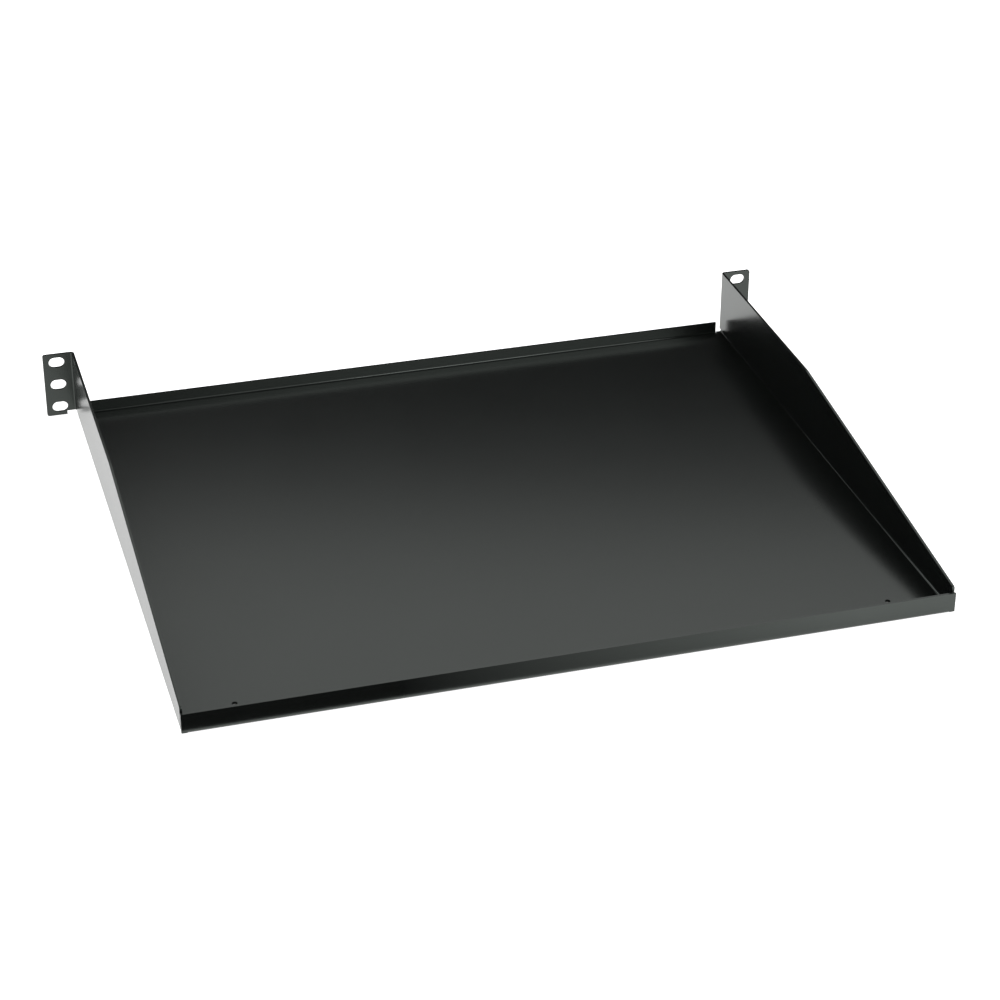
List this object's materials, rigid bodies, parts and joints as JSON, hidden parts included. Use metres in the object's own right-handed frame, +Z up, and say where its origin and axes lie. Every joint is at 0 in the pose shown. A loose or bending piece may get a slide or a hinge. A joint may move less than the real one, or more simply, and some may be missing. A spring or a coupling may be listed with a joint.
{
  "type": "cantilever rack shelf",
  "caption": "Folded sheet-steel tray with slotted ears that bolt it to the front rails of a 19-inch rack, one unit high.",
  "frame": {"origin": "centre of the ears' slot pattern, in the plane of the ears' mating faces", "axes": "+Y out of the rack's front, so the shelf reaches back along -Y; +X across the rack; +Z up"},
  "size_m": [0.4826, 0.3825, 0.0436],
  "materials": {
    "black_paint": "smooth semi-gloss black powder coat on steel"
  },
  "bodies": {
    "root": {"shelf": "black_paint"}
  },
  "joints": []
}
